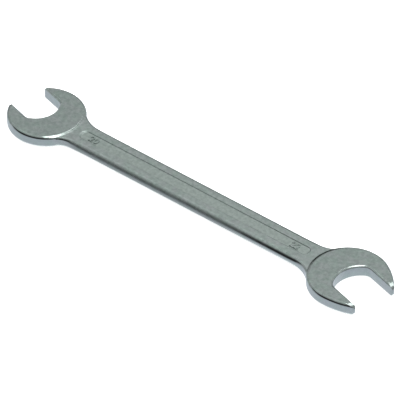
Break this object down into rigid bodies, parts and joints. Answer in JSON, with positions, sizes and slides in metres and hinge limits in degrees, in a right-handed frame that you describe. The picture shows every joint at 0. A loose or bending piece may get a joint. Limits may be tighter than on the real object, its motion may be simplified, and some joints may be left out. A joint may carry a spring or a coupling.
{
  "type": "open end wrench",
  "caption": "Double open end wrench forged in one piece: flat shank with a recessed panel on each face and an angled jaw on each end.",
  "frame": {"origin": "under the middle of the wrench's box, on the plane that the two heads lie on", "axes": "+X along the shank from the small head to the large head, +Z out of the upper face; each mouth is turned 15 degrees off X, the small one towards +Y and the large one towards -Y"},
  "size_m": [0.2356, 0.0428, 0.0064],
  "materials": {
    "satin_plate": "satin"
  },
  "bodies": {
    "root": {"wrench_forging": "satin_plate"}
  },
  "joints": []
}
